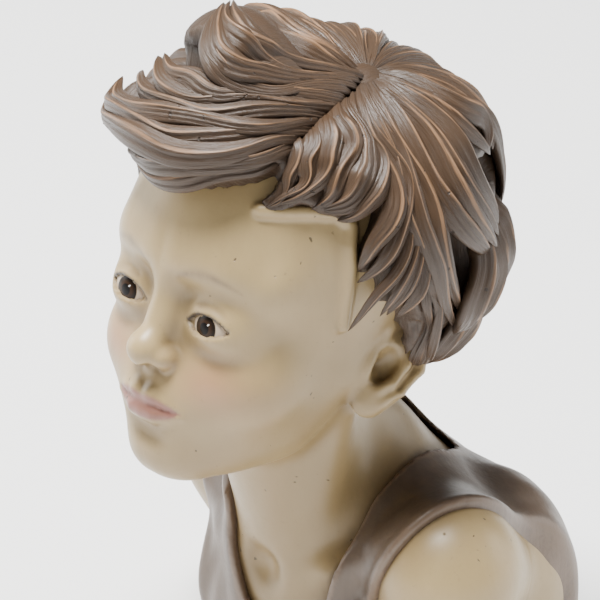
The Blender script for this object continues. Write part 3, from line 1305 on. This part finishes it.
@dataclass
class SkinPiece:
    """The cream-painted skin with the head, neck, trunk and arms."""

    figure: Figure
    hair: Hair
    vest: Vest
    bench: Bench
    cell: float = 0.0062
    triangles: int = 190000

    def surface(self) -> tuple[Array, Array]:
        """Dense mesh of the skin."""
        return Mesher(self.cell).surface(self.figure.skin, (-0.70, -0.55, BASE - 0.03), (0.70, 1.0, 0.56))

    def cover(self, p: Array) -> Array:
        """Distance to what lies over the skin: the hair's mass and the vest."""
        return np.minimum(self.hair.cap_shell(self.figure.head.into(p)), self.vest.shell(p))

    def recess(self, p: Array, normal: Array) -> Array:
        """How closed in each point is, from 0 in the open to 1 in a deep recess."""
        closed = np.zeros(len(p), np.float32)
        for step, share in ((0.012, 0.50), (0.030, 0.34), (0.075, 0.22)):
            there = (p + normal * step).astype(np.float32)
            free = np.minimum(evaluate(self.figure.skin, there), evaluate(self.cover, there))
            closed += share * np.clip(1 - free / step, 0, 1)
        return closed

    def underside(self, p: Array, normal: Array) -> Array:
        """Where the paint is toned down: on faces that look down, and on the neck under the head."""
        down = np.clip(0.30 - normal[:, 2] * 0.9, 0, 1)
        open_above = np.ones(len(p), np.float32)
        for step in (0.10, 0.20, 0.34, 0.50):
            there = (p + normal * 0.04 + np.float32((0.0, 0.0, step))).astype(np.float32)
            gap = evaluate(self.figure.skin, there)
            open_above = np.minimum(open_above, np.clip(gap / (0.35 * step), 0, 1))
        return np.clip(down * 0.75 + (1 - open_above) * 0.55, 0, 1)

    def paint_masks(self, p: Array) -> dict[str, Array]:
        """Where cheeks, lips, brows and lid edges are painted, in the head's frame."""
        h = folded(self.figure.head.into(p))
        eye = h - np.asarray(self.figure.head.eye, np.float32)
        front = np.clip((-h[:, 1] - 0.16) / 0.04, 0, 1)
        blush = np.exp(-(((h[:, 0] - 0.165) / 0.075) ** 2 + ((h[:, 2] + 0.20) / 0.062) ** 2)) * front
        upper = np.clip(1 - (h[:, 0] / 0.098) ** 2, 0, 1)
        rise = 0.026 * upper ** 0.7 - 0.006 * np.exp(-(h[:, 0] / 0.018) ** 2)
        drop = 0.036 * upper ** 0.6
        over = (h[:, 2] + 0.291) - rise
        under = -(h[:, 2] + 0.291) - drop
        lips = np.clip(0.5 - np.maximum(over, under) / 0.008, 0, 1) * (h[:, 0] < 0.104) * (h[:, 1] < -0.25)
        arc = 0.062 + 0.030 * (1 - ((h[:, 0] - 0.135) / 0.085) ** 2)
        thick = 0.012 * np.clip(1 - np.abs(h[:, 0] - 0.120) / 0.095, 0, 1) ** 0.5 + 1e-4
        brow = np.exp(-((h[:, 2] - arc + 0.030) / thick) ** 2) * (np.abs(h[:, 0] - 0.130) < 0.085) * front
        u = (eye[:, 0] + 0.001) / self.figure.head.eye_half_width
        edge = 0.028 * (1 - np.abs(u) ** 2.2) + 0.004 * u
        lash = np.exp(-((eye[:, 2] - edge - 0.002) / 0.0045) ** 2) * (np.abs(u) < 1.02) * (eye[:, 1] < -0.02)
        return {"blush": blush, "lips": lips, "brow": brow, "lash": np.clip(lash * 1.1, 0, 1)}

    def build(self) -> bpy.types.Object:
        """Mesh, thin, mark and paint the skin."""
        verts, faces = self.surface()
        piece = self.bench.mesh("skin", verts, faces)
        p = verts.astype(np.float32)
        h = self.figure.head.into(p)
        face = np.clip((-h[:, 1] - 0.02) / 0.08, 0, 1) * np.clip((h[:, 2] + 0.50) / 0.06, 0, 1)
        from_ear = np.sqrt(((folded(h) - np.float32((0.30, 0.11, -0.13))) ** 2).sum(1))
        ear = np.clip((0.20 - from_ear) / 0.03, 0, 1)
        hidden = (evaluate(self.cover, p) < -0.012)
        self.bench.thin(piece, self.triangles, np.maximum(np.maximum(face, ear), 0.55) * ~hidden)
        p, normal = self.bench.points(piece), self.bench.normals(piece)
        self.bench.store(piece, "recess", self.recess(p, normal))
        self.bench.store(piece, "under", self.underside(p, normal))
        for name, values in self.paint_masks(p).items():
            self.bench.store(piece, name, values)
        return self.bench.dress(piece, SkinPaint().material())


@dataclass
class HairPieces:
    """The mass of the hair and its carved locks, in a few pieces."""

    hair: Hair
    figure: Figure
    bench: Bench
    cap_cell: float = 0.011

    def recess(self, p: Array, crest: Array) -> Array:
        """How deep points of the locks lie, from their height over the hair's mass and their section."""
        shell = evaluate(self.hair.cap_shell, p.astype(np.float32))
        return np.clip(1 - shell / 0.030, 0, 1) * 0.55 + np.clip(0.30 - crest, 0, 1) * 0.5

    def lock_piece(self, name: str, locks: list[Lock], material: bpy.types.Material) -> bpy.types.Object:
        """One piece of many locks.

        Args:
            name: its name.
            locks: the locks.
            material: the paint.

        Returns:
            The object.
        """
        verts, faces, info, count = [], [], [], 0
        for lock in locks:
            v, f, a = self.hair.sweep(lock)
            verts.append(v)
            faces.append(f + count)
            info.append(a)
            count += len(v)
        p, a = np.concatenate(verts), np.concatenate(info)
        piece = self.bench.mesh(name, self.hair.head.out_of(p), np.concatenate(faces))
        self.bench.store(piece, "strand", a[:, [0, 1, 3]] * HEAD_HEIGHT * np.array([1, 1, 1 / HEAD_HEIGHT]))
        self.bench.store(piece, "crest", a[:, 2])
        self.bench.store(piece, "recess", self.recess(p, a[:, 2]))
        return self.bench.dress(piece, material)

    def cap_piece(self, material: bpy.types.Material) -> bpy.types.Object:
        """The mass under the locks."""
        verts, faces = Mesher(self.cap_cell).surface(
            self.hair.cap_shell, (-0.60, -0.60, -0.62), (0.60, 0.72, 0.70))
        piece = self.bench.mesh("hair_mass", self.hair.head.out_of(verts), faces)
        self.bench.store(piece, "strand", np.stack([verts[:, 0], verts[:, 2], verts[:, 1]], 1) * HEAD_HEIGHT)
        self.bench.store(piece, "crest", np.zeros(len(verts)))
        self.bench.store(piece, "recess", np.full(len(verts), 0.42))
        return self.bench.dress(piece, material)

    def build(self) -> list[bpy.types.Object]:
        """All pieces of the hair."""
        material = HairPaint().material()
        made = [self.cap_piece(material)]
        for name, locks in self.hair.locks.items():
            made.append(self.lock_piece(name, locks, material))
        return made


@dataclass
class VestPiece:
    """The dark vest."""

    vest: Vest
    figure: Figure
    bench: Bench
    cell: float = 0.0075
    triangles: int = 150000

    def build(self) -> bpy.types.Object:
        """Mesh, mark and paint the vest."""
        verts, faces = Mesher(self.cell).surface(
            self.vest.shell, (-0.62, -0.30, BASE - 0.03), (0.62, 1.0, -0.40))
        piece = self.bench.mesh("vest", verts, faces)
        self.bench.thin(piece, self.triangles, np.full(len(verts), 0.5))
        p, normal = self.bench.points(piece), self.bench.normals(piece)
        opening = evaluate(self.vest.openings, p)
        self.bench.store(piece, "edge", np.exp(-((opening - 0.006) / 0.012) ** 2))
        there = (p + normal * 0.02).astype(np.float32)
        free = np.minimum(evaluate(self.vest.shell, there), evaluate(self.figure.torso.both_arms, there))
        self.bench.store(piece, "recess", np.clip(1 - free / 0.02, 0, 1))
        return self.bench.dress(piece, VestPaint().material())


@dataclass
class Eyes:
    """Painted eyeballs behind the lids."""

    head: Head
    bench: Bench
    gaze: Point = (0.0, -1.0, -0.02)
    proud: float = 0.0012
    rings: int = 48
    turns: int = 72

    def ball(self) -> tuple[Array, Array]:
        """A unit ball with its pole towards -y: directions and quads."""
        polar = np.linspace(0.02, math.pi - 0.02, self.rings)
        turn = np.linspace(0, 2 * math.pi, self.turns, endpoint=False)
        a, b = np.meshgrid(polar, turn, indexing="ij")
        verts = np.stack([np.sin(a) * np.cos(b), -np.cos(a), np.sin(a) * np.sin(b)], -1).reshape(-1, 3)
        grid = np.meshgrid(np.arange(self.rings - 1), np.arange(self.turns), indexing="ij")
        i, j = (g.ravel() for g in grid)
        here, there = i * self.turns + j, i * self.turns + (j + 1) % self.turns
        quads = np.stack([here, there, there + self.turns, here + self.turns], 1)
        poles = []
        for ring, flip in ((0, False), (self.rings - 1, True)):
            k = np.arange(self.turns // 2 - 1)
            cap = np.stack([k, self.turns - 1 - k, self.turns - 2 - k, k + 1], 1) + ring * self.turns
            poles.append(cap[:, ::-1] if flip else cap)
        return verts, np.concatenate([quads] + poles)

    def build(self) -> bpy.types.Object:
        """Both eyes as one painted piece."""
        shape, quads = self.ball()
        gaze = unit(np.array(self.gaze))
        verts, faces, off, dot = [], [], [], []
        for side in Side:
            centre = np.array(self.head.eye) * (side.value, 1, 1)
            verts.append(shape * (self.head.eye_radius + self.proud) + centre)
            faces.append(quads + len(shape) * len(faces))
            off.append(np.arccos(np.clip(shape @ gaze, -1, 1)))
            glint = unit(gaze + np.array([0.13, 0.0, 0.15]))
            dot.append(np.clip(1 - np.arccos(np.clip(shape @ glint, -1, 1)) / 0.085, 0, 1))
        piece = self.bench.mesh("eyes", self.head.out_of(np.concatenate(verts)), np.concatenate(faces))
        self.bench.store(piece, "off_gaze", np.concatenate(off))
        self.bench.store(piece, "dot", np.concatenate(dot))
        return self.bench.dress(piece, EyePaint().material())


# The studio

@dataclass
class Studio:
    """Pale floor, soft lights and the camera at the angle of the photograph."""

    bench: Bench
    azimuth: float = math.radians(47.0)
    elevation: float = math.radians(27.0)
    distance: float = 11.0
    pixels_a_head: float = 430.0
    frame_pixels: float = 600.0
    ear_at: Point = (0.29, 0.085, -0.125)
    ear_pixel: tuple[float, float] = (378.0, 355.0)
    sensor: float = 36.0

    def axes(self) -> tuple[Array, Array, Array]:
        """Right, up and backward directions of the camera."""
        a, e = self.azimuth, self.elevation
        right = np.array([math.cos(a), math.sin(a), 0.0])
        up = np.array([-math.sin(a) * math.sin(e), math.cos(a) * math.sin(e), math.cos(e)])
        return right, up, np.cross(right, up)

    def camera(self) -> None:
        """Camera that sees the ear where the photograph shows it."""
        right, up, back = self.axes()
        middle = self.frame_pixels / 2
        target = (np.array(self.ear_at) - right * (self.ear_pixel[0] - middle) / self.pixels_a_head
                  + up * (self.ear_pixel[1] - middle) / self.pixels_a_head)
        data = bpy.data.cameras.new("photo_camera")
        data.sensor_width = self.sensor
        data.lens = self.sensor * self.distance * self.pixels_a_head / self.frame_pixels
        data.clip_start = 0.01
        data.clip_end = 20.0
        made = bpy.data.objects.new("photo_camera", data)
        made.location = self.bench.place(target + back * self.distance)
        made.rotation_euler = Vector(-back).to_track_quat("-Z", "Y").to_euler()
        bpy.context.scene.collection.objects.link(made)
        bpy.context.scene.camera = made

    def light(self, name: str, place: Array, aim: Array, size: float, power: float, colour: Colour) -> None:
        """One soft area light, its place and aim in metres."""
        data = bpy.data.lights.new(name, "AREA")
        data.shape = "DISK"
        data.size = size
        data.energy = power
        data.color = colour
        made = bpy.data.objects.new(name, data)
        made.location = place
        made.rotation_euler = (Vector(aim) - Vector(place)).to_track_quat("-Z", "Y").to_euler()
        bpy.context.scene.collection.objects.link(made)

    def floor(self) -> None:
        """Pale floor under the bust."""
        half = 3.0
        mesh = bpy.data.meshes.new("floor")
        corners = [(-half, -half, 0), (half, -half, 0), (half, half, 0), (-half, half, 0)]
        mesh.from_pydata(corners, [], [(0, 1, 2, 3)])
        mesh.update()
        made = bpy.data.objects.new("floor", mesh)
        bpy.context.scene.collection.objects.link(made)
        n = Nodes("pale_floor")
        tone = n.noise(n.place(), 3.0, 2.0, 0.5)
        tone = n.mix(tone, (0.86, 0.86, 0.85), (0.90, 0.90, 0.89))
        made.data.materials.append(n.finish(Base_Color=tone, Roughness=0.9))

    def build(self) -> None:
        """Set everything up."""
        world = bpy.data.worlds.new("studio")
        world.use_nodes = True
        background = world.node_tree.nodes["Background"]
        background.inputs["Color"].default_value = (1.0, 1.0, 1.0, 1.0)
        background.inputs["Strength"].default_value = 0.17
        bpy.context.scene.world = world
        self.floor()
        right, up, back = self.axes()
        top = np.array([0.0, 0.0, 1.0])
        aim = np.array([0.0, 0.0, 0.075])
        self.light("left_box", aim - right * 0.72 + top * 0.45 - back * 0.40, aim, 0.60, 5.0,
                   (1.0, 0.99, 0.97))
        self.light("right_box", aim + right * 0.80 + top * 0.30 - back * 0.25, aim, 0.50, 2.5,
                   (0.98, 0.99, 1.0))
        self.light("top_box", aim + top * 0.85 + back * 0.02 - right * 0.15, aim, 0.42, 33.0, (1.0, 1.0, 1.0))
        self.camera()


def figure_corners(meshes: list[Array]) -> tuple[Array, Array]:
    """Lowest and highest corner of several sets of points."""
    return np.min([m.min(0) for m in meshes], 0), np.max([m.max(0) for m in meshes], 0)


def main() -> None:
    """Build the bust, its finishes and the studio."""
    logging.basicConfig(level=logging.INFO, format="%(name)s: %(message)s")
    head, torso, bench = Head(), Torso(), Bench()
    hair, vest = Hair(head), Vest(torso)
    figure = Figure(head, torso, hair.ledge())
    rough = Mesher(0.03)
    trunk = rough.surface(lambda p: np.minimum(figure.skin(p), vest.shell(p)),
                          (-0.75, -0.6, BASE - 0.1), (0.75, 1.1, 0.6))[0]
    pieces = HairPieces(hair, figure, bench)
    locks = [head.out_of(hair.sweep(k)[0]) for group in hair.locks.values() for k in group]
    low, high = figure_corners([trunk] + locks)
    bench.centre_on(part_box(NODE), low, high)
    SkinPiece(figure, hair, vest, bench).build()
    VestPiece(vest, figure, bench).build()
    pieces.build()
    Eyes(head, bench).build()
    Studio(bench).build()


if __name__ == "__main__":
    main()
